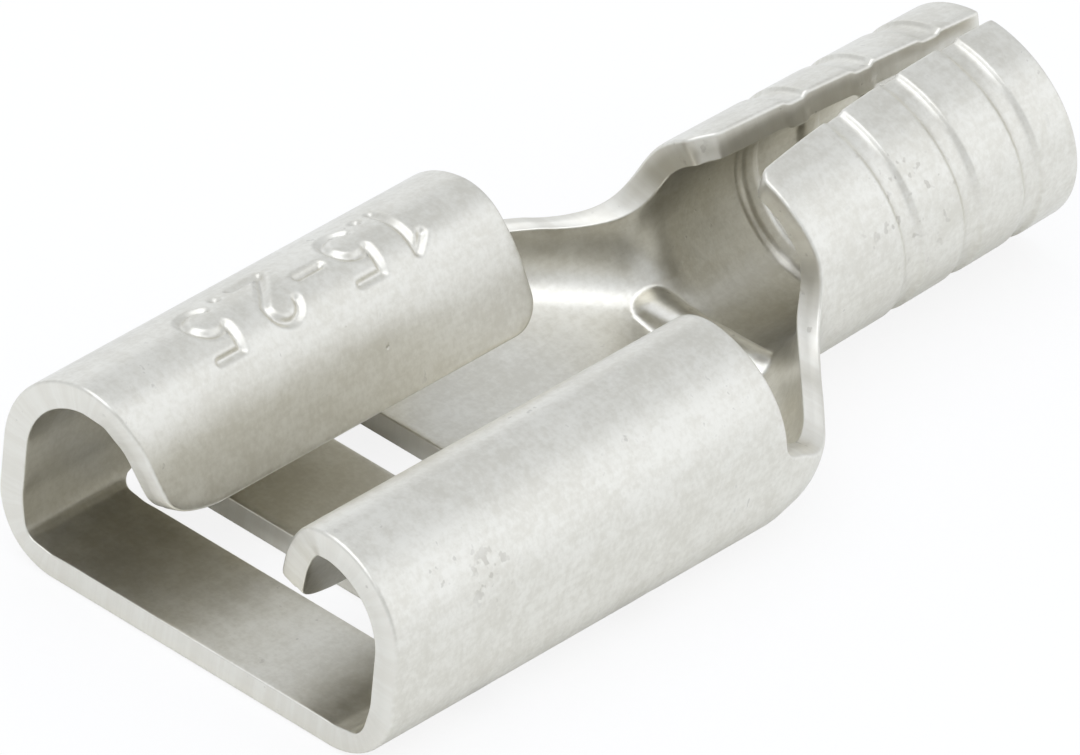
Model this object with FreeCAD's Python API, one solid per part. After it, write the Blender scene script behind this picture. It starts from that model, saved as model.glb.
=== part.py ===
import FreeCAD, Part
import math
import os

# Female spade terminal: one strip of tin-plated brass, stamped and folded.
# Millimetres. X runs across, Y from the tab's mouth towards the wire, Z up.
# The modelling starts with Y = 0 at the mouth, and the last step moves the
# finished terminal so that its origin is the middle of its footprint.

# The strip
SHEET = 0.43

# Receptacle: a flat floor with both sides folded up and rolled over the tab
BODY_WIDTH = 7.4
BODY_HEIGHT = 3.35
CORNER_RADIUS = 1.09
ROLL_RADIUS = 1.52
ROLL_SWEEP = 82.0
BROW_RADIUS = 0.95
LEG_TILT = 20.0
TIP_HEIGHT = 1.48

# Free corners of the wings. Heights run up the leg. At the mouth a straight
# cut comes down to the ease, a gentle slope that runs out into the free edge.
FRONT_CUT_LENGTH = 0.76
FRONT_CUT_HEIGHT = 1.38
EASE_HEIGHT = 0.13
EASE_SLOPE = 15.0
REAR_CUT_LENGTH = 0.50
REAR_CUT_HEIGHT = 0.45

# Cross slots through the floor. They end in both bottom bends, at an angle
# that is measured halfway through the strip.
SLOT_WIDTH = 0.90
SLOT_WRAP = 50.0
SLOT_CORNER = 0.38
FIRST_SLOT = 2.40
SECOND_SLOT = 5.49

# Everything behind the wings is sheared off, pressed and rolled in planes
# that lean towards the mouth. Such a plane's place is its Y on the underside.
LEAN = 8.2
WING_REAR = 8.28

# Neck: the channel narrows at its shoulders into the barrel
NECK_START = 8.10
SHOULDER_START = 8.90
SHOULDER_END = 10.95
SHOULDER_SOFTENING = 0.40
NECK_DISH = 25.0
NECK_STEPS = 8
NECK_EDGE_HEIGHT = 1.54
NOTCH_RADIUS = 0.38
EAR_FRONT = 11.21
EAR_EDGE_RADIUS = 1.10

# Tab stop: a rib pressed up across the neck's floor, hollow underneath
STOP_PLACE = 10.60
STOP_LENGTH = 2.7
STOP_RADIUS = 0.38
STOP_HEIGHT = 0.40
HOLLOW_RADIUS = 0.26
HOLLOW_DEPTH = 0.22

# Crimp barrel: an open ring that tapers and rises a little towards the wire
TOTAL_LENGTH = 16.6
BARREL_RADIUS_FRONT = 1.84
BARREL_RADIUS_REAR = 1.755
BARREL_RISE = 0.135
SEAM_GAP_FRONT = 1.04
SEAM_GAP_REAR = 0.18
EAR_CORNER_LEFT = 0.32
EAR_CORNER_RIGHT = 0.15

# Rings pressed into the barrel, to grip the wire inside
RING_COUNT = 3
RING_WIDTH = 0.45
RING_DEPTH = 0.06
RING_RAMP = 0.10
RING_WALL = 0.03
FIRST_RING = 13.04
RING_PITCH = 1.285

# How far the cutting shapes reach past the strip
CUTTER_SPARE = 1.0


def bend(sweep, radius):
    """A bend of the strip: its sweep in degrees and its outer radius."""
    return math.radians(sweep), radius


def straight(length):
    """A stretch of the strip with no bend."""
    return None, length


def half_path(bends, inset):
    """Edges of one half of a section, from the floor's middle to the free edge.

    Each edge is its start, middle and end as (x, z). inset is the distance
    inward from the strip's outer face.
    """
    x, z, heading = 0.0, inset, 0.0
    path = []
    for sweep, size in bends:
        if sweep is None:
            end_x = x + size * math.cos(heading)
            end_z = z + size * math.sin(heading)
            path.append(((x, z), None, (end_x, end_z)))
            x, z = end_x, end_z
            continue
        radius = size - inset
        centre_x = x - radius * math.sin(heading)
        centre_z = z + radius * math.cos(heading)

        def on_arc(angle):
            return centre_x + radius * math.sin(angle), centre_z - radius * math.cos(angle)

        middle = on_arc(heading + sweep / 2)
        heading += sweep
        path.append(((x, z), middle, on_arc(heading)))
        x, z = path[-1][2]
    return path


def edge_at(y, start, middle, end):
    """A straight edge, or an arc when there is a middle point, in the section's plane."""
    angle = math.radians(LEAN * narrowing(y))
    points = [FreeCAD.Vector(p[0], y - p[1] * math.sin(angle), rise(y) + p[1] * math.cos(angle))
              for p in (start, middle, end) if p is not None]
    return (Part.LineSegment(*points) if middle is None else Part.Arc(*points)).toShape()


def mirrored(point):
    return None if point is None else (-point[0], point[1])


def face_path(y, bends, inset):
    """Edges of one face of the strip from its left free edge, and its right end point."""
    half = half_path(bends, inset)
    start, middle, end = half[0]
    edges = [edge_at(y, mirrored(c), mirrored(b), mirrored(a)) for a, b, c in half[:0:-1]]
    edges.append(edge_at(y, mirrored(end), None if middle is None else start, end))
    edges += [edge_at(y, a, b, c) for a, b, c in half[1:]]
    return edges, half[-1][2]


def section(y, bends, outer_inset=0.0, inner_inset=SHEET):
    """Closed outline of the strip's thickness, cut square at both free edges."""
    outer, outer_end = face_path(y, bends, outer_inset)
    inner, inner_end = face_path(y, bends, inner_inset)
    right_cap = edge_at(y, outer_end, None, inner_end)
    left_cap = edge_at(y, mirrored(inner_end), None, mirrored(outer_end))
    return Part.Wire(outer + [right_cap] + inner[::-1] + [left_cap])


def flat_face(place, points):
    """Flat face inside lines and arcs. A pair of points is the middle and the end of an arc.

    place turns a point of the outline into a vector.
    """
    edges = []
    last = points[0]
    for point in points[1:] + [points[0]]:
        ends = [last] + (list(point) if isinstance(point[0], tuple) else [point])
        vectors = [place(*end) for end in ends]
        curve = Part.Arc(*vectors) if len(vectors) == 3 else Part.LineSegment(*vectors)
        edges.append(curve.toShape())
        last = ends[-1]
    return Part.Face(Part.Wire(edges))


def side_prism(points, half_width):
    """Prism across the terminal, whose outline is given in the side view as (y, z)."""
    face = flat_face(lambda y, z: FreeCAD.Vector(-half_width, y, z), points)
    return face.extrude(FreeCAD.Vector(2 * half_width, 0, 0))


def receptacle_bends():
    """Floor, bottom bend and wall, then a wide roll, a tighter brow and a straight leg."""
    floor = BODY_WIDTH / 2 - CORNER_RADIUS
    wall_top = (BODY_HEIGHT - BROW_RADIUS
                - (ROLL_RADIUS - BROW_RADIUS) * math.sin(math.radians(ROLL_SWEEP)))
    leg_top = BODY_HEIGHT - BROW_RADIUS * (1 - math.sin(math.radians(LEG_TILT)))
    leg = (leg_top - TIP_HEIGHT) / math.cos(math.radians(LEG_TILT))
    return [straight(floor), bend(90, CORNER_RADIUS), straight(wall_top - CORNER_RADIUS),
            bend(ROLL_SWEEP, ROLL_RADIUS), bend(180 - ROLL_SWEEP - LEG_TILT, BROW_RADIUS),
            straight(leg)]


def receptacle():
    profile = Part.Face(section(0, receptacle_bends()))
    return profile.extrude(FreeCAD.Vector(0, NECK_START, 0))


def leaning(place, z):
    """Y at the height z of the leaning plane that meets the underside at place."""
    return place - z * math.tan(math.radians(LEAN))


def on_circle(centre, radius, degrees):
    """Point (y, z) of a circle in the side view."""
    angle = math.radians(degrees)
    return centre[0] + radius * math.cos(angle), centre[1] + radius * math.sin(angle)


def front_corner():
    """Outline (y, height up the leg) of what is cut off a wing at the mouth."""
    ease_end = FRONT_CUT_LENGTH + (EASE_HEIGHT + SHEET) / math.tan(math.radians(EASE_SLOPE))
    top = EASE_HEIGHT + FRONT_CUT_HEIGHT
    return [(0, top), (FRONT_CUT_LENGTH, EASE_HEIGHT), (ease_end, -SHEET),
            (-CUTTER_SPARE, -SHEET), (-CUTTER_SPARE, top)]


def rear_corner():
    """Outline (y, height up the leg) of what is cut off a wing at its rear."""
    upright = math.cos(math.radians(LEG_TILT))
    edge = leaning(WING_REAR, TIP_HEIGHT + REAR_CUT_HEIGHT * upright)
    start = leaning(WING_REAR, TIP_HEIGHT) - REAR_CUT_LENGTH
    share = math.sin(math.radians(45))
    bulge = (mix(start, edge, share), REAR_CUT_HEIGHT * (1 - share))
    return [(start, 0), (bulge, (edge, REAR_CUT_HEIGHT)), (edge + CUTTER_SPARE, REAR_CUT_HEIGHT),
            (edge + CUTTER_SPARE, -SHEET), (start, -SHEET)]


def wing_corner_cutters():
    """Blocks for the wings' free corners, square to the leg as the flat strip was cut."""
    across = math.cos(math.radians(LEG_TILT))
    down = math.sin(math.radians(LEG_TILT))
    tip_x, tip_z = half_path(receptacle_bends(), -SHEET / 2)[-1][2]
    cutters = []
    for side in (-1, 1):
        through = FreeCAD.Vector(side * across, 0, -down) * (2 * SHEET)
        for points in (front_corner(), rear_corner()):
            face = flat_face(lambda y, up: FreeCAD.Vector(side * (tip_x + up * down), y,
                                                          tip_z + up * across), points)
            cutters.append(face.extrude(through))
    return cutters


def slot_end(y, side, spare):
    """The slot's end with its two round corners, turned up into the bottom bend."""
    flat = BODY_WIDTH / 2 - CORNER_RADIUS
    half = SLOT_WIDTH / 2
    run = half - SLOT_CORNER
    bow = SLOT_CORNER * math.sin(math.radians(45))
    points = [(0, -half), ((bow, -run - bow), (SLOT_CORNER, -run)), (SLOT_CORNER, run),
              ((bow, run + bow), (0, half))]
    outline = flat_face(lambda out, w: FreeCAD.Vector(side * (flat + out), y + w, -spare), points)
    return outline.extrude(FreeCAD.Vector(0, 0, SHEET + 2 * spare))


def floor_slot(y):
    """A cross slot at y, whose rounded ends follow both bottom bends of the strip."""
    flat = BODY_WIDTH / 2 - CORNER_RADIUS
    spare = SHEET / 2
    half = SLOT_WIDTH / 2
    depth = SHEET + 2 * spare
    corner_angle = math.degrees(math.asin(SLOT_CORNER / (CORNER_RADIUS - SHEET / 2)))
    turn = SLOT_WRAP - corner_angle
    slot = Part.makeBox(2 * flat, SLOT_WIDTH, depth, FreeCAD.Vector(-flat, y - half, -spare))
    along = FreeCAD.Vector(0, 1, 0)
    pieces = []
    for side in (-1, 1):
        axis = FreeCAD.Vector(side * flat, y, CORNER_RADIUS)
        start = flat_face(lambda w, z: FreeCAD.Vector(side * flat, y + w, z),
                          [(-half, -spare), (half, -spare), (half, depth - spare),
                           (-half, depth - spare)])
        pieces.append(start.revolve(axis, along, -side * turn))
        end = slot_end(y, side, spare)
        end.rotate(axis, along, -side * turn)
        pieces.append(end)
    return slot.fuse(pieces)


def softened(distance):
    """A ramp that starts at zero and bends gently over the softening length."""
    if distance <= -SHOULDER_SOFTENING:
        return 0.0
    if distance >= SHOULDER_SOFTENING:
        return distance
    return (distance + SHOULDER_SOFTENING) ** 2 / (4 * SHOULDER_SOFTENING)


def narrowing(y):
    """0 at the receptacle's full width and 1 at the barrel."""
    ramp = softened(y - SHOULDER_START) - softened(y - SHOULDER_END)
    return ramp / (SHOULDER_END - SHOULDER_START)


def mix(a, b, share):
    return a + (b - a) * share


def rounding(y):
    """0 where the bottom bends are the receptacle's and 1 where they are the barrel's."""
    share = (y - NECK_START) / (SHOULDER_END + SHOULDER_SOFTENING - NECK_START)
    return min(1.0, max(0.0, share))


def barrel_share(y):
    """0 up to the shoulders' end and 1 at the wire's entry."""
    start = SHOULDER_END + SHOULDER_SOFTENING
    return max(0.0, (y - start) / (TOTAL_LENGTH - start))


def rise(y):
    """Height of the section's underside above the floor's."""
    return BARREL_RISE * barrel_share(y)


def barrel_radius(y):
    return mix(BARREL_RADIUS_FRONT, BARREL_RADIUS_REAR, barrel_share(y))


def seam_angle(y):
    """Half the seam's gap as an angle at the barrel's axis, in degrees."""
    gap = mix(SEAM_GAP_FRONT, SEAM_GAP_REAR, barrel_share(y))
    return math.degrees(math.asin(gap / 2 / (barrel_radius(y) - SHEET / 2)))


def channel_bends(y):
    """The neck's section: a dished floor, two bends and two walls that close in."""
    share = narrowing(y)
    radius = barrel_radius(y)
    half_width = mix(BODY_WIDTH / 2, radius, share)
    corner = mix(CORNER_RADIUS, radius, rounding(y))
    dish = NECK_DISH * rounding(y)
    floor = straight(half_width - corner)
    if dish > 0:
        slope = math.sin(math.radians(dish))
        floor = bend(dish, (half_width - corner * (1 - slope)) / slope)
    length = radius * math.radians(90 - seam_angle(y))
    wall = straight(length)
    if share > 0:
        wall = bend(math.degrees(length * share / radius), radius / share)
    return [floor, bend(90 - dish, corner), wall]


def neck():
    """The channel from the wings to the barrel, with its edges untrimmed."""
    end = SHOULDER_END + SHOULDER_SOFTENING
    places = [mix(NECK_START, end, step / NECK_STEPS) for step in range(NECK_STEPS + 1)]
    return Part.makeLoft([section(y, channel_bends(y)) for y in places], True)


def barrel_stations():
    """Places along the barrel with the depth of the pressed rings there."""
    stations = [(SHOULDER_END + SHOULDER_SOFTENING, 0.0)]
    for number in range(RING_COUNT):
        front = FIRST_RING + RING_PITCH * number - RING_WIDTH / 2
        rear = front + RING_WIDTH
        stations += [(front, 0.0), (front + RING_RAMP, RING_DEPTH),
                     (rear - RING_WALL, RING_DEPTH), (rear, 0.0)]
    return stations + [(TOTAL_LENGTH, 0.0)]


def barrel():
    """The open ring, with each pressed ring a groove outside and a rib inside."""
    wires = [section(y, channel_bends(y), depth, SHEET + depth) for y, depth in barrel_stations()]
    return Part.makeLoft(wires, True, True)


def edge_trimmer():
    """The space behind the wings, over the neck's edges and before the barrel's ears."""
    above = 2 * BODY_HEIGHT
    tilt = math.cos(math.radians(LEAN))
    notch_height = NECK_EDGE_HEIGHT + NOTCH_RADIUS
    notch = (leaning(WING_REAR, notch_height) + NOTCH_RADIUS / tilt, notch_height)
    ear_height = NECK_EDGE_HEIGHT + EAR_EDGE_RADIUS
    ear = (leaning(EAR_FRONT, ear_height) - EAR_EDGE_RADIUS / tilt, ear_height)
    outline = [(leaning(WING_REAR, above), above), on_circle(notch, NOTCH_RADIUS, 180 + LEAN),
               (on_circle(notch, NOTCH_RADIUS, 225 + LEAN / 2), on_circle(notch, NOTCH_RADIUS, 270)),
               on_circle(ear, EAR_EDGE_RADIUS, 270),
               (on_circle(ear, EAR_EDGE_RADIUS, 315 + LEAN / 2), on_circle(ear, EAR_EDGE_RADIUS, LEAN)),
               (leaning(EAR_FRONT, above), above)]
    return side_prism(outline, BODY_WIDTH)


def ear_corner_cutters():
    """The seam's front corners, clipped as the strip was."""
    low = BODY_HEIGHT - SHEET
    front = leaning(EAR_FRONT, 2 * BARREL_RADIUS_FRONT)
    cutters = []
    for side, size in ((-1, EAR_CORNER_LEFT), (1, EAR_CORNER_RIGHT)):
        seam = side * SEAM_GAP_FRONT / 2
        out = seam + side * size
        points = [(seam, front + size), (out, front), (out, front - CUTTER_SPARE),
                  (0, front - CUTTER_SPARE), (0, front + size)]
        corner = flat_face(lambda x, y: FreeCAD.Vector(x, y, low), points)
        cutters.append(corner.extrude(FreeCAD.Vector(0, 0, BODY_HEIGHT)))
    return cutters


def stop_rib():
    """The tab stop's upper half, with round ends that sink into the rising floor."""
    base = SHEET + STOP_HEIGHT - STOP_RADIUS
    tip = STOP_LENGTH / 2
    run = tip - STOP_RADIUS
    bow = STOP_RADIUS * math.sin(math.radians(45))
    points = [(run, STOP_RADIUS), ((run + bow, bow), (tip, 0)), (-tip, 0),
              ((-run - bow, bow), (-run, STOP_RADIUS))]
    face = flat_face(lambda x, y: FreeCAD.Vector(x, STOP_PLACE + y, base), points)
    return face.revolve(FreeCAD.Vector(0, STOP_PLACE, base), FreeCAD.Vector(1, 0, 0), 180)


def stop_hollow():
    """What the press leaves on the underside of the tab stop."""
    start = FreeCAD.Vector(-STOP_LENGTH / 2, STOP_PLACE, HOLLOW_DEPTH - HOLLOW_RADIUS)
    return Part.makeCylinder(HOLLOW_RADIUS, STOP_LENGTH, start, FreeCAD.Vector(1, 0, 0))


def terminal():
    body = receptacle().cut(wing_corner_cutters())
    body = body.fuse(neck().fuse(barrel())).cut(edge_trimmer())
    body = body.cut([floor_slot(FIRST_SLOT), floor_slot(SECOND_SLOT)])
    body = body.cut(ear_corner_cutters())
    body = body.fuse(stop_rib()).cut(stop_hollow())
    body = body.removeSplitter()
    body.translate(FreeCAD.Vector(0, -TOTAL_LENGTH / 2, 0))
    return body


def main():
    os.makedirs("parts", exist_ok=True)
    shape = terminal()
    solid = shape.Solids[0]
    solid.exportStep("parts/terminal.step")
    box = solid.optimalBoundingBox(False)
    print("solids", len(shape.Solids), "valid", solid.isValid(), "volume mm3", round(solid.Volume, 3))
    print("box", [round(v, 3) for v in (box.XMin, box.XMax, box.YMin, box.YMax, box.ZMin, box.ZMax)])


main()
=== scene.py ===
# %% [markdown]
# # A female spade terminal, cut flat and then folded
#
# A real terminal starts as a flat blank, punched out of brass strip and plated with tin. Dies then
# fold it. This lesson works the same way. It draws the blank's outline with its two slots, fills it
# with a fine mesh, and bends that mesh with one formula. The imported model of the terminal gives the
# frame, and the folded sheet stands for its one node.
#
# Sizes are in millimetres until the mesh is made, and in metres after that.

# %% load the frame
import bpy
import math
import numpy as np
from mathutils import Matrix, Vector
from mathutils.geometry import delaunay_2d_cdt


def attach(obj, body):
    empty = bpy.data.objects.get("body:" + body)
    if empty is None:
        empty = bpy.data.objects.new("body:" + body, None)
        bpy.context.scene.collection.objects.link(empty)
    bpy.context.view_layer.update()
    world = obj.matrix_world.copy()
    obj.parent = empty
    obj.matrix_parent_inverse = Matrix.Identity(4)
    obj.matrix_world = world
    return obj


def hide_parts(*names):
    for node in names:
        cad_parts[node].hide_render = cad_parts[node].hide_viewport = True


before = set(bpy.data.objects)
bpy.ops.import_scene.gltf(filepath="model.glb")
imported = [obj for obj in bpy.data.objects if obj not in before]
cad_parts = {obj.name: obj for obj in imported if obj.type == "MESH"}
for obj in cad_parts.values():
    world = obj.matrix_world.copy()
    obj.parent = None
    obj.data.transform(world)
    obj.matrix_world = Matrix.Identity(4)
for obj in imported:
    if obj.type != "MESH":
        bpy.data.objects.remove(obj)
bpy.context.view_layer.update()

# %% [markdown]
# ## The sheet's sizes
#
# u runs across the blank from its middle line, measured along the outer face. v is the place along
# the terminal, measured on the underside from the tab's mouth. w is the depth into the sheet, from
# the outer face to the inner one.

# %% sizes in millimetres
SHEET = 0.43
LENGTH = 16.6
# Receptacle: floor, walls and the wings rolled over the tab
BODY_WIDTH, BODY_HEIGHT = 7.4, 3.35
CORNER, ROLL, BROW, FLANK, TIP_HEIGHT = 1.09, 1.52, 0.80, 2.60, 1.48
ROLL_SWEEP, FLANK_SWEEP, LEG_TILT = math.radians(82), math.radians(20), math.radians(20)
# Neck and barrel
NECK_START, SHOULDER_START, SHOULDER_END, SOFTENING = 8.10, 8.90, 10.95, 0.40
NECK_DISH = math.radians(25)
LEAN = math.radians(8.2)
RADIUS_FRONT, RADIUS_REAR, BARREL_RISE = 1.84, 1.755, 0.135
GAP_FRONT, GAP_REAR = 1.04, 0.18
# Free edges and slots
WING_REAR, EAR_FRONT = 8.28, 11.21
REAR_CUT_LENGTH, REAR_CUT_RISE, REAR_CUT_WIDTH = 0.50, 0.423, 0.45
NECK_EDGE, NOTCH, EAR_ARC = 1.54, 0.38, 1.10
SLOT_MIDDLES, SLOT_WIDTH, SLOT_CORNER, SLOT_WRAP = (2.40, 5.49), 0.90, 0.38, math.radians(50)
# Pressed forms
FIRST_RING, RING_STEP, RING_DEPTH = 13.04, 1.285, 0.06
STOP_PLACE, STOP_HALF_WIDTH, STOP_AXIS_HEIGHT = 10.60, 0.97, 0.45
# Worked out from the sizes above
FLAT_FLOOR = BODY_WIDTH / 2 - CORNER
BARREL_START = SHOULDER_END + SOFTENING
WALL_HEIGHT = BODY_HEIGHT - BROW - (ROLL - BROW) * math.sin(ROLL_SWEEP) - CORNER
BROW_SWEEP = math.pi - ROLL_SWEEP - FLANK_SWEEP - LEG_TILT
FLANK_TOP = BODY_HEIGHT - BROW * (1 - math.sin(LEG_TILT + FLANK_SWEEP))
LEG_TOP = FLANK_TOP - FLANK * (math.sin(LEG_TILT + FLANK_SWEEP) - math.sin(LEG_TILT))
LEG = (LEG_TOP - TIP_HEIGHT) / math.cos(LEG_TILT)
print("wing wall", round(WALL_HEIGHT, 3), "brow", round(BROW * BROW_SWEEP, 3), "leg", round(LEG, 3))


# %% [markdown]
# ## Bending formula
#
# Each section is a chain of stretches with constant curvature, from the middle of the floor to the
# free edge. A stretch of length t and curvature k turns the heading by kt and moves the point along
# its chord, whose length is t times sin(kt/2)/(kt/2). Adding the stretches gives the outer face,
# and going inward along the normal by w gives any point of the sheet. Wings modelled by hand would
# stretch the sheet, and this formula keeps its length and its thickness.

# %% section formulas
def ramp(distance):
    """Zero, then a parabola over the softening length, then the distance itself."""
    bent = (distance + SOFTENING) ** 2 / (4 * SOFTENING)
    return np.where(distance <= -SOFTENING, 0.0, np.where(distance >= SOFTENING, distance, bent))


def narrowing(v):
    """0 at the receptacle's width and 1 at the barrel's."""
    return (ramp(v - SHOULDER_START) - ramp(v - SHOULDER_END)) / (SHOULDER_END - SHOULDER_START)


def barrel_share(v):
    """0 up to the barrel's start and 1 at the wire's entry."""
    return np.clip((v - BARREL_START) / (LENGTH - BARREL_START), 0, 1)


def mix(a, b, share):
    """a plus share times the step from a to b."""
    return a + (b - a) * share


def stretches(v):
    """Lengths and curvatures of the seven stretches of the section at v."""
    share, round_share = narrowing(v), np.clip((v - NECK_START) / (BARREL_START - NECK_START), 0, 1)
    radius = mix(RADIUS_FRONT, RADIUS_REAR, barrel_share(v))
    half_width = mix(BODY_WIDTH / 2, radius, share)
    corner = mix(CORNER, radius, round_share)
    dish = NECK_DISH * round_share
    slope = np.maximum(np.sin(dish), 1e-9)
    floor_radius = (half_width - corner * (1 - slope)) / slope
    seam = np.arcsin(mix(GAP_FRONT, GAP_REAR, barrel_share(v)) / 2 / (radius - SHEET / 2))
    wall = radius * (math.pi / 2 - seam)
    flat, zero = dish <= 0, np.zeros_like(v)
    neck = v >= NECK_START
    lengths = np.array([
        np.where(flat, half_width - corner, floor_radius * dish),
        corner * (math.pi / 2 - dish),
        np.where(neck, wall, WALL_HEIGHT),
        np.where(neck, zero, ROLL * ROLL_SWEEP),
        np.where(neck, zero, BROW * BROW_SWEEP),
        np.where(neck, zero, FLANK * FLANK_SWEEP),
        np.where(neck, zero, LEG)])
    bends = np.array([
        np.where(flat, zero, 1 / floor_radius),
        1 / corner,
        np.where(neck, share / radius, zero),
        np.where(neck, zero, 1 / ROLL),
        np.where(neck, zero, 1 / BROW),
        np.where(neck, zero, 1 / FLANK),
        np.where(neck, share / radius, zero)])
    return lengths, bends


def fold(u, v, w):
    """Folded place of the points (u, v, w) of the blank, in millimetres from the mouth."""
    lengths, bends = stretches(v)
    x, z, heading, left = 0 * u, 0 * u, 0 * u, np.abs(u)
    for number in range(7):
        last = number == 6
        step = left if last else np.minimum(left, lengths[number])
        turn = bends[number] * step
        chord = step * np.sinc(turn / 2 / math.pi)
        x = x + chord * np.cos(heading + turn / 2)
        z = z + chord * np.sin(heading + turn / 2)
        heading = heading + turn
        left = left - step
    x = np.sign(u) * (x - w * np.sin(heading))
    z = z + w * np.cos(heading)
    lean = LEAN * narrowing(v)
    return np.stack([x, v - z * np.sin(lean), BARREL_RISE * barrel_share(v) + z * np.cos(lean)], -1)


def half_width_of_blank(v):
    """Length of the section's outer face from its middle to the free edge."""
    return stretches(v)[0].sum(0)


WALL_TOP = FLAT_FLOOR + CORNER * math.pi / 2 + WALL_HEIGHT
ROLL_END = WALL_TOP + ROLL * ROLL_SWEEP
LEG_START = ROLL_END + BROW * BROW_SWEEP + FLANK * FLANK_SWEEP
WING_TIP = LEG_START + LEG
barrel_halves = half_width_of_blank(np.array([12.0, LENGTH]))
print("half widths of the blank: wing", round(WING_TIP, 3), "barrel", barrel_halves.round(3))


# %% [markdown]
# ## The blank's outline
#
# The outline is known in the side view, as heights and lengths. The place on the outer face that has
# a given height is found by halving. The wings' free corners are drawn on the flat blank, where the
# length down the leg is known.

# %% curves in the side view
def arc_through(a, b, c, count=24):
    """Points on the circle through three side-view points, from a over b to c."""
    (ax, ay), (bx, by), (cx, cy) = a, b, c
    d = 2 * (ax * (by - cy) + bx * (cy - ay) + cx * (ay - by))
    ox = ((ax**2 + ay**2) * (by - cy) + (bx**2 + by**2) * (cy - ay) + (cx**2 + cy**2) * (ay - by)) / d
    oy = ((ax**2 + ay**2) * (cx - bx) + (bx**2 + by**2) * (ax - cx) + (cx**2 + cy**2) * (bx - ax)) / d
    radius = math.hypot(ax - ox, ay - oy)
    angles = np.unwrap([math.atan2(y - oy, x - ox) for x, y in (a, b, c)])
    t = np.linspace(angles[0], angles[2], count)
    return np.stack([ox + radius * np.cos(t), oy + radius * np.sin(t)], -1)


def circle(centre, radius, start, stop, count=24):
    """Side-view points of a circle between two angles in degrees."""
    t = np.radians(np.linspace(start, stop, count))
    return np.stack([centre[0] + radius * np.cos(t), centre[1] + radius * np.sin(t)], -1)


def soft_line(knots, count=60):
    """Smooth curve through knots: the cubic that keeps the slopes of their neighbours."""
    knots = np.array(knots)
    slopes = np.gradient(knots, axis=0)
    place = np.linspace(0, len(knots) - 1, count)
    first = np.minimum(place.astype(int), len(knots) - 2)
    t = (place - first)[:, None]
    a, b, da, db = knots[first], knots[first + 1], slopes[first], slopes[first + 1]
    at_a, at_b = 2 * t**3 - 3 * t**2 + 1, 3 * t**2 - 2 * t**3
    slope_a, slope_b = t**3 - 2 * t**2 + t, t**3 - t**2
    return at_a * a + slope_a * da + at_b * b + slope_b * db


# %% from the side view to the blank
def on_wall(points):
    """(u, v) of side-view points on the outer face of the neck's walls and the ears."""
    y, z = points[:, 0], points[:, 1]
    v = y.copy()
    for _ in range(40):
        v = y + (z - BARREL_RISE * barrel_share(v)) * np.tan(LEAN * narrowing(v))
    low, high = np.full_like(v, FLAT_FLOOR * 0.4), np.full_like(v, WALL_TOP + 2.0)
    for _ in range(50):
        middle = (low + high) / 2
        under = fold(middle, v, 0 * v)[:, 2] < z
        low, high = np.where(under, middle, low), np.where(under, high, middle)
    return np.stack([low, v], -1)


def leaning(place, z):
    """Length at height z of the leaning plane that meets the underside at place."""
    return place - z * math.tan(LEAN)


# %% one side of the blank
# The wings' front corner: heights up the leg, each with the length from the mouth there
WING_FRONT = [(2.35, 0.0), (2.10, 0.03), (1.86, 0.09), (1.51, 0.19), (1.25, 0.28), (0.91, 0.36),
              (0.68, 0.43), (0.49, 0.49), (0.34, 0.56), (0.20, 0.71), (0.10, 0.94), (0.02, 1.30),
              (0.0, 1.55)]


def half_outline(ear_corner, reach, reach_growth):
    """One side of the blank, from the middle of the mouth to the middle of the rear end.

    The ear reaches further over the seam by (reach + reach_growth times t) times (1 - t), where t
    goes from 0 at its front to 1 at the wire's entry.
    """
    front = soft_line(WING_FRONT) * [-1, 1] + [WING_TIP, 0]
    tip_rear = leaning(WING_REAR, TIP_HEIGHT) - REAR_CUT_LENGTH
    top_rear = leaning(WING_REAR, TIP_HEIGHT + REAR_CUT_RISE)
    bow = math.sin(math.pi / 4)
    halfway = (REAR_CUT_WIDTH * (1 - bow), mix(tip_rear, top_rear, bow))
    corner = arc_through((0, tip_rear), halfway, (REAR_CUT_WIDTH, top_rear)) * [-1, 1] + [WING_TIP, 0]
    notch_z = NECK_EDGE + NOTCH
    u_rear = np.linspace(corner[-1, 0], FLAT_FLOOR + CORNER * math.pi / 2 + notch_z - CORNER, 120)
    z_rear = fold(u_rear, 0 * u_rear, 0 * u_rear)[:, 2]
    rear = np.stack([u_rear, leaning(WING_REAR, z_rear)], -1)
    notch = (leaning(WING_REAR, notch_z) + NOTCH / math.cos(LEAN), notch_z)
    ear_z = NECK_EDGE + EAR_ARC
    ear = (leaning(EAR_FRONT, ear_z) - EAR_ARC / math.cos(LEAN), ear_z)
    side = np.concatenate([circle(notch, NOTCH, 180 + math.degrees(LEAN), 270),
                           circle(ear, EAR_ARC, 270, 360 + math.degrees(LEAN), 40)])
    v_seam = np.linspace(EAR_FRONT + ear_corner, LENGTH, 60)
    share = (v_seam - v_seam[0]) / (LENGTH - v_seam[0])
    u_seam = half_width_of_blank(v_seam) + (reach + reach_growth * share) * (1 - share)
    seam = np.stack([u_seam, v_seam], -1)
    clip, mouth, entry = [[seam[0, 0] - ear_corner, EAR_FRONT]], [[0.0, 0.0]], [[0.0, LENGTH]]
    return np.concatenate([mouth, front, corner, rear, on_wall(side), clip, seam, entry])


# %% even steps, eased corners and slots
def even_steps(points, step):
    """The closed line through the points, with steps of equal length."""
    closed = np.concatenate([points, points[:1]])
    along = np.concatenate([[0], np.cumsum(np.hypot(*np.diff(closed, axis=0).T))])
    places = np.linspace(0, along[-1], int(along[-1] / step), endpoint=False)
    return np.stack([np.interp(places, along, closed[:, k]) for k in (0, 1)], -1)


def eased(points, reach):
    """The closed line with its corners rounded by a bell-shaped average over reach points."""
    offsets = np.arange(-3 * reach, 3 * reach + 1)
    weights = np.exp(-0.5 * (offsets / reach) ** 2)
    weights /= weights.sum()
    return sum(weight * np.roll(points, -offset, axis=0) for weight, offset in zip(weights, offsets))


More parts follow.
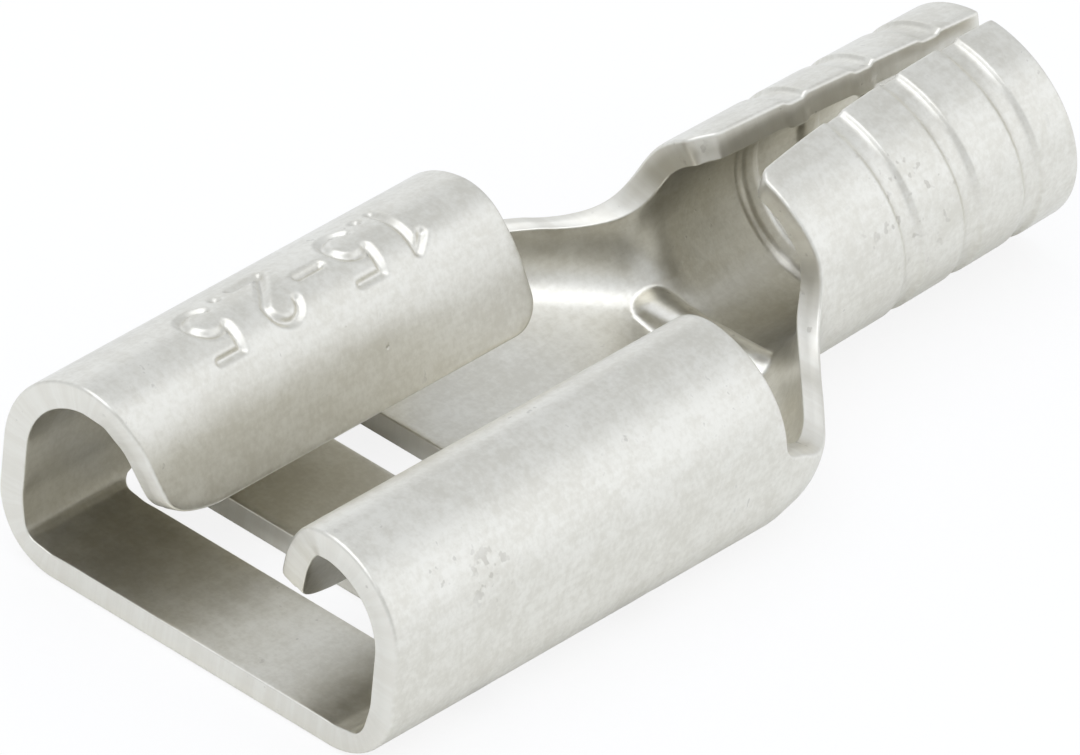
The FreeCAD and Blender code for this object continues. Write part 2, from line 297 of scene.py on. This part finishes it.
def slot_outline(v_middle, count=40):
    """A floor slot with rounded ends, drawn clockwise so that the sheet is on its left."""
    end = SLOT_CORNER / (CORNER - SHEET / 2) * CORNER
    middle = FLAT_FLOOR + CORNER * SLOT_WRAP - end
    t = np.linspace(-math.pi / 2, math.pi / 2, count)
    across = SLOT_WIDTH / 2 * np.sign(t) + SLOT_CORNER * (np.sin(t) - np.sign(t))
    right = np.stack([middle + end * np.cos(t), v_middle + across], -1)
    left = np.stack([-middle - end * np.cos(t), v_middle - across], -1)
    return np.concatenate([right, left])[::-1]


# %% draw the outlines
OUTLINE_STEP = 0.05
right_side = half_outline(ear_corner=0.15, reach=0.11, reach_growth=0.45)
left_side = half_outline(ear_corner=0.32, reach=0.0, reach_growth=0.0)
whole = np.concatenate([right_side, (left_side * [-1, 1])[::-1]])
lines = [whole] + [slot_outline(v) for v in SLOT_MIDDLES]
loops = [eased(even_steps(line, OUTLINE_STEP), 1) for line in lines]
print("outline points", [len(loop) for loop in loops])


# %% [markdown]
# ## Pressed and stamped forms
#
# Rings, tab stop and wire size are pressed into the blank's faces. Boolean cuts would leave sharp
# walls, so each form is a depth added to w. The wire size is drawn with strokes, and the depth
# falls off with the distance to the nearest stroke.

# %% rings and tab stop
RINGS = [FIRST_RING + RING_STEP * number for number in range(3)]
RAMP_START, RAMP_END, REAR_START, REAR_END = -0.235, -0.105, 0.155, 0.225


def smooth(edge_a, edge_b, x):
    """Smooth step: 3t² minus 2t³ for t from 0 at edge_a to 1 at edge_b."""
    t = np.clip((x - edge_a) / (edge_b - edge_a), 0, 1)
    return t * t * (3 - 2 * t)


def ring_depth(v):
    """Bands 0.06 mm deep, with a soft front ramp and a steeper rear wall."""
    depth = 0 * v
    for middle in RINGS:
        rear_wall = 1 - smooth(middle + REAR_START, middle + REAR_END, v)
        depth = depth + smooth(middle + RAMP_START, middle + RAMP_END, v) * rear_wall
    return RING_DEPTH * depth


def stop_height(u, v, radius, height):
    """Round-topped bump of the tab stop: height times the root of 1 minus (distance/radius)²."""
    place = fold(u, v, 0 * u + SHEET)
    across = np.maximum(np.abs(place[:, 0]) - STOP_HALF_WIDTH, 0)
    distance = np.hypot(across, place[:, 1] - STOP_PLACE)
    rise = STOP_AXIS_HEIGHT + radius * np.sqrt(np.clip(1 - (distance / radius) ** 2, 0, 1))
    above = (rise - place[:, 2]) * height / (radius + 0.02)
    soft = 0.03
    lift = 0.5 * (above + np.sqrt(above**2 + soft**2)) - 0.5 * (np.sqrt(0.2**2 + soft**2) - 0.2)
    near = (distance < radius * 1.6) & (place[:, 2] < 1.2)
    return np.where(near, np.maximum(lift - 0.004, 0) * smooth(radius * 1.5, radius * 0.98, distance), 0)


print("ring middles", np.round(RINGS, 3).tolist(), "tab stop", STOP_PLACE)


# %% stamped wire size
GLYPHS = {
    "1": [[(0.12, 0.78), (0.36, 1.0), (0.36, 0.0)]],
    "2": [[(0.30 - 0.27 * math.cos(a), 0.72 + 0.28 * math.sin(a)) for a in np.linspace(0.1, 3.5, 16)]
          + [(0.02, 0.0), (0.60, 0.0)]],
    "5": [[(0.55, 1.0), (0.10, 1.0), (0.06, 0.56)]
          + [(0.27 + 0.31 * math.cos(a), 0.32 + 0.31 * math.sin(a)) for a in np.linspace(2.3, -2.5, 20)]],
    "-": [[(0.05, 0.46), (0.52, 0.46)]],
    ".": [[(0.05, 0.03), (0.08, 0.03)]],
}
GLYPH_STEP = {"1": 0.62, "2": 0.86, "5": 0.84, "-": 0.76, ".": 0.34}
MARK_HEIGHT = 1.02
MARK_U, MARK_V = -6.95, 6.55
MARK_DEPTH, MARK_HALF_STROKE, MARK_LIP, MARK_LIP_PLACE = 0.064, 0.105, 0.004, 0.135


def mark_points(text):
    """Points every 0.02 mm along the strokes of the text, as (u, v) on the left wing."""
    points, pen = [], 0.0
    for letter in text:
        for stroke in GLYPHS[letter]:
            line = np.array(stroke) + [pen, 0]
            along = np.concatenate([[0], np.cumsum(np.hypot(*np.diff(line, axis=0).T))])
            places = np.arange(0, along[-1] + 1e-9, 0.02 / MARK_HEIGHT)
            points.append(np.stack([np.interp(places, along, line[:, k]) for k in (0, 1)], -1))
        pen += GLYPH_STEP[letter]
    run = np.concatenate(points) * MARK_HEIGHT
    return np.stack([MARK_U - run[:, 1], MARK_V - run[:, 0]], -1)


STROKES = mark_points("1.5-2.5")
MARK_BOX = (STROKES.min(0) - 0.2, STROKES.max(0) + 0.2)


def mark_depth(u, v):
    """Depth of the stamped strokes, with the metal pushed up in a low lip beside them."""
    inside = (u > MARK_BOX[0][0]) & (u < MARK_BOX[1][0]) & (v > MARK_BOX[0][1]) & (v < MARK_BOX[1][1])
    depth = np.zeros_like(u)
    near = np.nonzero(inside)[0]
    if len(near):
        apart = np.hypot(u[near, None] - STROKES[None, :, 0], v[near, None] - STROKES[None, :, 1]).min(1)
        lip = MARK_LIP * np.exp(-((apart - MARK_LIP_PLACE) / 0.035) ** 2)
        depth[near] = MARK_DEPTH * (1 - smooth(0.0, MARK_HALF_STROKE, apart)) - lip
    return depth


print("wire size strokes: points", len(STROKES), "box", np.round(MARK_BOX, 2).tolist())


# %% thinning and pressing
def thinning(u, v):
    """Share of the thickness lost inside the bottom bends and on the floor of the receptacle."""
    corner = np.exp(-(((np.abs(u) - FLAT_FLOOR - 0.70) / 0.42) ** 2))
    floor = 0.13 * (1 - smooth(FLAT_FLOOR, FLAT_FLOOR + 0.5, np.abs(u)))
    return (floor + 0.30 * corner) * (1 - smooth(NECK_START - 0.6, NECK_START + 0.6, v))


def press(u, v, w):
    """Depth w after pressing. The share of the inner face grows with w through the sheet."""
    inner = np.clip(w / SHEET, 0, 1)
    w = w * (1 - thinning(u, v))
    rings = ring_depth(v)
    stop = mix(stop_height(u, v, 0.30, 0.22), stop_height(u, v, 0.38, 0.40), inner)
    return w + rings + stop + (1 - inner) * mark_depth(u, v)


def placed(u, v, w):
    """Pressed and folded place of blank points in metres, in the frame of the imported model."""
    return (fold(u, v, press(u, v, w)) - [0, LENGTH / 2, 0]) * 1e-3


thinnest = SHEET * (1 - thinning(FLAT_FLOOR + 0.70, 0.0))
print("thickness left in the bottom bends", round(float(thinnest), 3))


# %% [markdown]
# ## Filling the blank
#
# A grid of points fills the outline, finer at the rings, the tab stop and the wire size. A Delaunay
# triangulation that keeps the outline's edges joins them. Both faces of the sheet are filled. A
# Solidify modifier would give square edges, so the sheared edge between the faces is a profile
# swept along the outline: rolled over on the outer side, then a smooth band, a small step where
# the metal broke, and a narrow burr.

# %% points on the sheet
def inward(loop):
    """Unit vectors from a closed line towards the sheet, which is on its left."""
    along = np.roll(loop, -1, axis=0) - np.roll(loop, 1, axis=0)
    along /= np.hypot(*along.T)[:, None]
    return np.stack([-along[:, 1], along[:, 0]], -1)


def inside_sheet(points, spare):
    """True for points on the blank that are at least spare from its outlines."""
    inside = np.zeros(len(points), bool)
    clear = np.full(len(points), 1e9)
    for loop in loops:
        a, b = loop, np.roll(loop, -1, axis=0)
        for part in np.array_split(np.arange(len(points)), max(1, len(points) // 3000)):
            p = points[part]
            crosses = (a[:, 1] > p[:, None, 1]) != (b[:, 1] > p[:, None, 1])
            step = np.where(b[:, 1] == a[:, 1], 1e-12, b[:, 1] - a[:, 1])
            at = (b[:, 0] - a[:, 0]) * (p[:, None, 1] - a[:, 1]) / step + a[:, 0]
            inside[part] ^= (crosses & (p[:, None, 0] < at)).sum(1) % 2 == 1
            nearest = np.hypot(p[:, None, 0] - a[:, 0], p[:, None, 1] - a[:, 1]).min(1)
            clear[part] = np.minimum(clear[part], nearest)
    return inside & (clear > spare)


def grid(u_range, v_range, u_step, v_step):
    """Points of a rectangular grid, as an array of (u, v)."""
    us = np.linspace(*u_range, max(2, int(round((u_range[1] - u_range[0]) / u_step)) + 1))
    vs = np.linspace(*v_range, max(2, int(round((v_range[1] - v_range[0]) / v_step)) + 1))
    return np.stack(np.meshgrid(us, vs), -1).reshape(-1, 2)


# Rows of points across a ring, measured from its middle
RING_ROWS = (-0.26, -0.225, -0.19, -0.16, -0.125, -0.04, 0.06, 0.15, 0.185, 0.205, 0.225, 0.26)


def blank_points(outer):
    """Inner points of the blank. The outer face also gets a fine grid under the wire size."""
    parts = [grid((-10.1, 10.1), (0.1, 8.0), 0.13, 0.16), grid((-6.5, 6.5), (8.16, 11.36), 0.10, 0.10),
             grid((-6.5, 6.5), (11.5, 16.5), 0.11, 0.14)]
    fine = [((-1.9, 1.9), (9.9, 11.4), 0.045)]
    if outer:
        fine.append(((MARK_BOX[0][0], MARK_BOX[1][0]), (MARK_BOX[0][1], MARK_BOX[1][1]), 0.032))
    points = np.concatenate(parts)
    for middle in RINGS:
        points = points[np.abs(points[:, 1] - middle) > 0.30]
    for (u0, u1), (v0, v1), _ in fine:
        across, along = points[:, 0], points[:, 1]
        points = points[~((across > u0) & (across < u1) & (along > v0) & (along < v1))]
    rings = [middle + place for middle in RINGS for place in RING_ROWS]
    ring_grid = np.stack(np.meshgrid(np.arange(-6.5, 6.5, 0.09), rings), -1).reshape(-1, 2)
    points = np.concatenate([points, ring_grid] + [grid(us, vs, step, step) for us, vs, step in fine])
    return points[inside_sheet(points, 0.085)]


# %% fill one face
def filled(inset, outer):
    """Vertices (u, v) and triangles of one face, with its rims' vertex numbers by loop."""
    edges_in, rims, start = [], [], 0
    for loop in loops:
        rims.append(loop + inset * inward(loop))
        numbers = np.arange(start, start + len(loop))
        edges_in += np.stack([numbers, np.roll(numbers, -1)], -1).tolist()
        start += len(loop)
    points = np.concatenate(rims + [blank_points(outer)])
    out = delaunay_2d_cdt([Vector(p) for p in points], edges_in, [], 1, 1e-6)
    vertices = np.array([tuple(p) for p in out[0]])
    triangles = np.array(out[2])
    number_of = np.zeros(len(points), int)
    counts = np.array([len(sources) for sources in out[3]])
    sources = np.concatenate([np.array(sources, int) for sources in out[3]])
    number_of[sources] = np.repeat(np.arange(len(counts)), counts)
    middles = vertices[triangles].mean(1)
    for v_slot in SLOT_MIDDLES:
        hole = np.abs(middles[:, 1] - v_slot) < SLOT_WIDTH / 2
        hole &= np.abs(middles[:, 0]) < FLAT_FLOOR + CORNER * SLOT_WRAP
        kept = ~hole | inside_sheet(middles, 0.0)
        triangles, middles = triangles[kept], middles[kept]
    splits = np.cumsum([len(loop) for loop in loops])[:-1]
    return vertices, triangles, np.split(number_of[:start], splits)


# %% sheared edge and both faces
def rim_profile():
    """Steps (inset, depth) of the sheared edge between the two faces."""
    over, burr, broken = 0.055, 0.028, 0.014
    a = np.radians([22.5, 45, 67.5, 90])
    rolled = np.stack([over * (1 - np.sin(a)), over * (1 - np.cos(a))], -1)
    b = np.radians([90, 60, 30])
    sharp = np.stack([broken + burr * (1 - np.sin(b)), SHEET - burr * (1 - np.cos(b))], -1)
    return over, broken + burr, np.concatenate([rolled, [[0, 0.25], [broken, 0.285]], sharp])


over, under, profile = rim_profile()
outer_uv, outer_tris, outer_rims = filled(over, True)
inner_uv, inner_tris, inner_rims = filled(under, False)
print("outer face", len(outer_uv), len(outer_tris), "inner face", len(inner_uv), len(inner_tris))


# %% join faces and rims
def rim_strip(first, rows, last):
    """Four-sided faces between neighbouring rows of rim vertices."""
    table = np.concatenate([[first], rows, [last]])
    ahead = np.roll(table, -1, axis=1)
    return np.stack([table[:-1], ahead[:-1], ahead[1:], table[1:]], -1).reshape(-1, 4)


u = [outer_uv[:, 0], inner_uv[:, 0]]
v = [outer_uv[:, 1], inner_uv[:, 1]]
w = [np.zeros(len(outer_uv)), np.full(len(inner_uv), SHEET)]
quads, total = [], len(outer_uv) + len(inner_uv)
for loop, first, last in zip(loops, outer_rims, inner_rims):
    rows = np.arange(total, total + len(profile) * len(loop)).reshape(len(profile), len(loop))
    ring = loop[None] + profile[:, None, :1] * inward(loop)[None]
    u.append(ring[..., 0].ravel())
    v.append(ring[..., 1].ravel())
    w.append(np.repeat(profile[:, 1], len(loop)))
    quads.append(rim_strip(first, rows, last + len(outer_uv)))
    total += rows.size
u, v, w = (np.concatenate(values) for values in (u, v, w))
quads = np.concatenate(quads)
tris = np.concatenate([outer_tris[:, ::-1], inner_tris + len(outer_uv)])
places = placed(u, v, w)
print("vertices", len(places), "triangles", len(tris) + 2 * len(quads))


# %% mesh object
def mesh_object(name, vertices, tris, quads):
    """A smooth mesh from arrays of vertices, triangles and four-sided faces."""
    mesh = bpy.data.meshes.new(name)
    corners = np.concatenate([tris.ravel(), quads.ravel()]).astype(np.int32)
    sizes = np.concatenate([np.full(len(tris), 3), np.full(len(quads), 4)]).astype(np.int32)
    mesh.vertices.add(len(vertices))
    mesh.vertices.foreach_set("co", vertices.astype(np.float32).ravel())
    mesh.loops.add(len(corners))
    mesh.loops.foreach_set("vertex_index", corners)
    mesh.polygons.add(len(sizes))
    mesh.polygons.foreach_set("loop_start", (np.cumsum(sizes) - sizes).astype(np.int32))
    mesh.polygons.foreach_set("use_smooth", np.ones(len(sizes), bool))
    mesh.update(calc_edges=True)
    mesh.validate()
    piece = bpy.data.objects.new(name, mesh)
    bpy.context.scene.collection.objects.link(piece)
    return piece, corners


def add_attribute(mesh, name, values):
    """A number per vertex that the material can read."""
    mesh.attributes.new(name, "FLOAT", "POINT").data.foreach_set("value", values.astype(np.float32))


terminal, corners = mesh_object("folded_sheet", places, tris, quads)
uv_layer = terminal.data.uv_layers.new(name="blank")
UV_SPAN = 25.0  # mm of the blank that the unit square of the map covers
uv_layer.data.foreach_set("uv", (np.stack([u, v], -1)[corners] / UV_SPAN + 0.5).astype(np.float32).ravel())
on_cut = np.arange(len(u)) >= len(outer_uv) + len(inner_uv)
add_attribute(terminal.data, "cut", on_cut * smooth(0.0, 0.06, w) * smooth(SHEET, SHEET - 0.03, w))
add_attribute(terminal.data, "depth", w / SHEET)
print("box in mm", (places.min(0) * 1000).round(3), (places.max(0) * 1000).round(3))


# %% [markdown]
# ## Tin-plated brass
#
# The strip is rolled brass, and after stamping a thin coat of tin is plated on. Tin is a pale, warm
# grey metal with a satin surface. Handling in bulk leaves rubbed specks, pits and dull patches. The
# sheared edges are painted a little lighter than the coat, a painted highlight for the light that
# their rims catch, and their striae vary that tone. Noise measured in millimetres gives all of these
# their real size, with no picture to wrap on.

# %% colours and nodes
def linear(code):
    """Linear colour with alpha from an sRGB hex code such as "#D8D4CB"."""
    parts = [int(code[i:i + 2], 16) / 255 for i in (1, 3, 5)]
    return [p / 12.92 if p <= 0.04045 else ((p + 0.055) / 1.055) ** 2.4 for p in parts] + [1.0]


def add_node(tree, kind, settings=None, **inputs):
    """A new shader node. An input, by name or number, is a value, or a socket or node to link."""
    node = tree.nodes.new(kind)
    for key, value in (settings or {}).items():
        setattr(node, key, value)
    for key, value in inputs.items():
        numbered = key[0] == "_" and key[1:].isdigit()
        socket = node.inputs[int(key[1:]) if numbered else key.replace("_", " ")]
        value = value.outputs[0] if isinstance(value, bpy.types.Node) else value
        if isinstance(value, bpy.types.NodeSocket):
            tree.links.new(value, socket)
        else:
            socket.default_value = value
    return node


# %% tin over brass
def tin_plated_brass():
    """Satin tin over brass, with mottling, drawn lines, rubbed specks and pits at their real sizes."""
    material = bpy.data.materials.new("tin-plated brass")
    material.use_nodes = True
    tree = material.node_tree
    shader = tree.nodes["Principled BSDF"]
    math_node, vector_node, span_node = "ShaderNodeMath", "ShaderNodeVectorMath", "ShaderNodeMapRange"
    names = ("MULTIPLY", "MULTIPLY_ADD", "MAXIMUM", "SCALE", "DISTANCE")
    times, times_plus, larger, scaled, apart = ({"operation": name} for name in names)
    soft_step, colours = {"interpolation_type": "SMOOTHSTEP"}, {"data_type": "RGBA"}

    place = add_node(tree, "ShaderNodeTexCoord").outputs
    in_mm = add_node(tree, vector_node, scaled, _0=place["Object"], Scale=1000.0)
    flat_mm = add_node(tree, vector_node, scaled, _0=place["UV"], Scale=UV_SPAN)
    cut = add_node(tree, "ShaderNodeAttribute", {"attribute_name": "cut"}).outputs["Fac"]
    depth = add_node(tree, "ShaderNodeAttribute", {"attribute_name": "depth"}).outputs["Fac"]

    # Widths in mm of the coat's patches, mottling, grain, specks and worn spots
    patches, mottle, grain, dots, rubbed = (
        add_node(tree, "ShaderNodeTexNoise", Vector=in_mm, Scale=1 / width, Detail=detail, Roughness=fine)
        for width, detail, fine in ((1.818, 2.0, 0.55), (0.3125, 3.0, 0.62), (0.0909, 2.0, 0.6),
                                    (0.1818, 2.0, 0.6), (0.2222, 2.0, 0.6)))
    # The rolled strip's lines are finer than this: 0.11 mm apart and 1.8 mm long, so that they
    # show. The striae of the torn metal on the cut edges are 0.2 mm wide.
    lines, striae = (
        add_node(tree, "ShaderNodeTexNoise", Scale=1.0, Detail=detail, Roughness=0.6,
                 Vector=add_node(tree, vector_node, times, _0=flat_mm, _1=(1 / across, 1 / along, 1.0)))
        for across, along, detail in ((0.1111, 1.818, 2.0), (0.2, 0.2, 3.0)))

    # Specks come in some of the patches. Pits are 0.1 mm wide, in a few of the 0.77 mm cells.
    speck = add_node(tree, span_node, soft_step, _0=dots, _1=0.66, _2=0.74)
    patch = add_node(tree, span_node, soft_step, _0=patches, _1=0.50, _2=0.62)
    specks = add_node(tree, math_node, times, _0=speck, _1=patch)
    pit_cells = add_node(tree, "ShaderNodeTexVoronoi", Vector=in_mm, Scale=1 / 0.7692)
    chosen = add_node(tree, span_node, soft_step, _0=pit_cells.outputs["Color"], _1=0.70, _2=0.74)
    ragged = add_node(tree, math_node, times_plus, _0=grain, _1=0.16, _2=pit_cells.outputs["Distance"])
    hollow = add_node(tree, span_node, soft_step, _0=ragged, _1=0.15, _2=0.07)
    pits = add_node(tree, math_node, times, _0=hollow, _1=chosen)
    # Two rubbed spots on the blank: on the right wing's wall and on the barrel's right side
    for spot, reach, least in (((18.2, 14.5, 0.0), 0.7, 0.55), ((16.3, 25.7, 0.0), 1.6, 0.62)):
        away = add_node(tree, vector_node, apart, _0=flat_mm, _1=spot).outputs["Value"]
        near = add_node(tree, span_node, soft_step, _0=away, _1=reach, _2=0.2 * reach)
        bare = add_node(tree, span_node, soft_step, _0=rubbed, _1=least, _2=least + 0.06)
        worn = add_node(tree, math_node, times, _0=near, _1=bare)
        specks = add_node(tree, math_node, larger, _0=specks, _1=worn)

    tone = 0.0
    for pattern, share in ((grain, 0.30), (lines, 0.15), (mottle, 0.30), (patches, 0.25)):
        tone = add_node(tree, math_node, times_plus, _0=pattern, _1=share, _2=tone)
    coat = add_node(tree, "ShaderNodeMix", colours, _6=linear("#DAD6C9"), _7=linear("#E8E5DA"),
                    _0=add_node(tree, span_node, soft_step, _0=tone, _1=0.38, _2=0.62))
    # The cut edges are painted a little lighter than the coat: a painted highlight on the sheared rims,
    # with the striae varying its tone.
    edge = add_node(tree, "ShaderNodeMix", colours, _6=linear("#E4E0D4"), _7=linear("#EAE7DC"),
                    _0=add_node(tree, span_node, soft_step, _0=striae, _1=0.35, _2=0.7))
    metal = add_node(tree, "ShaderNodeMix", colours, _0=cut, _6=coat.outputs[2], _7=edge.outputs[2])
    marked = add_node(tree, math_node, larger, _0=pits, _1=specks)
    grime = add_node(tree, math_node, times, _0=marked, _1=0.30)
    colour = add_node(tree, "ShaderNodeMix", colours, _0=grime, _6=metal.outputs[2], _7=linear("#8E867A"))

    rough = 0.34
    for pattern, share in ((mottle, 0.14), (depth, -0.05), (cut, 0.08)):
        rough = add_node(tree, math_node, times_plus, _0=pattern, _1=share, _2=rough)

    # Heights in mm, because the bump's distance is 1 mm
    cut_striae, height = add_node(tree, math_node, times, _0=striae, _1=cut), 0.0
    for pattern, rise in ((patches, 0.024), (mottle, 0.0034), (grain, 0.0009), (lines, 0.0008),
                          (specks, -0.0018), (pits, -0.008), (cut_striae, 0.0012)):
        height = add_node(tree, math_node, times_plus, _0=pattern, _1=rise, _2=height)
    bump = add_node(tree, "ShaderNodeBump", Strength=1.0, Distance=0.001, Height=height)

    tree.links.new(colour.outputs[2], shader.inputs["Base Color"])
    tree.links.new(rough.outputs[0], shader.inputs["Roughness"])
    tree.links.new(bump.outputs[0], shader.inputs["Normal"])
    shader.inputs["Metallic"].default_value = 1.0
    return material


terminal.data.materials.append(tin_plated_brass())
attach(terminal, "root")
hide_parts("terminal")
print("material", terminal.data.materials[0].name)


# %% [markdown]
# ## Floor, light and camera
#
# The floor is a pale sheet of paper. Camera rays see it and the world as white. The light is a
# large soft box above the front, a wide one low behind on the right, and a faint one on the left.

# %% floor
def pale_floor():
    """A wide square, a hair below the terminal's underside."""
    mesh = bpy.data.meshes.new("floor")
    half, z = 0.6, -0.00001
    corners = [(-half, -half, z), (half, -half, z), (half, half, z), (-half, half, z)]
    mesh.from_pydata(corners, [], [(0, 1, 2, 3)])
    floor = bpy.data.objects.new("floor", mesh)
    bpy.context.scene.collection.objects.link(floor)
    material = bpy.data.materials.new("pale paper")
    material.use_nodes = True
    tree = material.node_tree
    paper = tree.nodes["Principled BSDF"]
    paper.inputs["Base Color"].default_value = linear("#F8F8F7")
    paper.inputs["Roughness"].default_value = 0.9
    path = add_node(tree, "ShaderNodeLightPath").outputs
    white = add_node(tree, "ShaderNodeEmission", {}, Color=(1, 1, 1, 1), Strength=1.0).outputs[0]
    settings = {"operation": "MULTIPLY"}
    share = add_node(tree, "ShaderNodeMath", settings, _0=path["Is Camera Ray"], _1=0.85).outputs[0]
    blend = add_node(tree, "ShaderNodeMixShader", {}, Fac=share)
    tree.links.new(paper.outputs[0], blend.inputs[1])
    tree.links.new(white, blend.inputs[2])
    tree.links.new(blend.outputs[0], tree.nodes["Material Output"].inputs["Surface"])
    floor.data.materials.append(material)
    return floor


floor = pale_floor()
print("floor corners", len(floor.data.vertices))


# %% world
def studio_world():
    """White to the camera, and a plain grey room to everything else."""
    world = bpy.data.worlds.new("studio")
    world.use_nodes = True
    tree = world.node_tree
    path = add_node(tree, "ShaderNodeLightPath").outputs
    settings, room, white = {"data_type": "RGBA"}, (0.73, 0.76, 0.82, 1), (1, 1, 1, 1)
    shade = add_node(tree, "ShaderNodeMix", settings, _0=path["Is Camera Ray"], _6=room, _7=white)
    tree.links.new(shade.outputs[2], tree.nodes["Background"].inputs["Color"])
    bpy.context.scene.world = world


studio_world()
print("world", bpy.context.scene.world.name)


# %% soft boxes
def soft_box(name, place, size, power, colour="#F0F4FF"):
    """A square area lamp that faces the terminal's middle."""
    lamp = bpy.data.lights.new(name, "AREA")
    lamp.shape, lamp.size, lamp.size_y = "RECTANGLE", size[0], size[1]
    lamp.energy, lamp.color = power, linear(colour)[:3]
    box = bpy.data.objects.new(name, lamp)
    box.location = place
    box.rotation_mode = "QUATERNION"
    box.rotation_quaternion = (-Vector(place)).to_track_quat("-Z", "Y")
    bpy.context.scene.collection.objects.link(box)


soft_box("top box", (0.00, -0.12, 0.44), (0.50, 0.50), 0.90)
soft_box("rear box", (0.33, 0.33, 0.18), (0.50, 0.50), 0.39)
soft_box("left box", (-0.42, 0.20, 0.16), (0.30, 0.24), 0.10)
print("soft boxes", sorted(lamp.name for lamp in bpy.data.lights))


# %% camera
def photo_camera():
    """A long lens 0.29 m away, at the photograph's angle, with its slight roll."""
    turn, lift, roll, distance = math.radians(39.25), math.radians(34.64), math.radians(5.54), 0.291
    back = Vector((math.sin(turn) * math.cos(lift), -math.cos(turn) * math.cos(lift), math.sin(lift)))
    right = Vector((math.cos(turn), math.sin(turn), 0))
    up = back.cross(right)
    aim = Vector((0, -0.0008, 0.0015)) + right * -0.0003244 + up * -0.0001903
    axes = (right * math.cos(roll) + up * math.sin(roll),
            up * math.cos(roll) - right * math.sin(roll), back)
    lens = bpy.data.cameras.new("camera")
    lens.sensor_width, lens.lens = 36.0, 697.4
    lens.clip_start, lens.clip_end = 0.05, 5.0
    camera = bpy.data.objects.new("camera", lens)
    camera.matrix_world = Matrix.Translation(aim + back * distance) @ Matrix(axes).transposed().to_4x4()
    bpy.context.scene.collection.objects.link(camera)
    bpy.context.scene.camera = camera


photo_camera()
bpy.context.scene.view_settings.view_transform = "Standard"
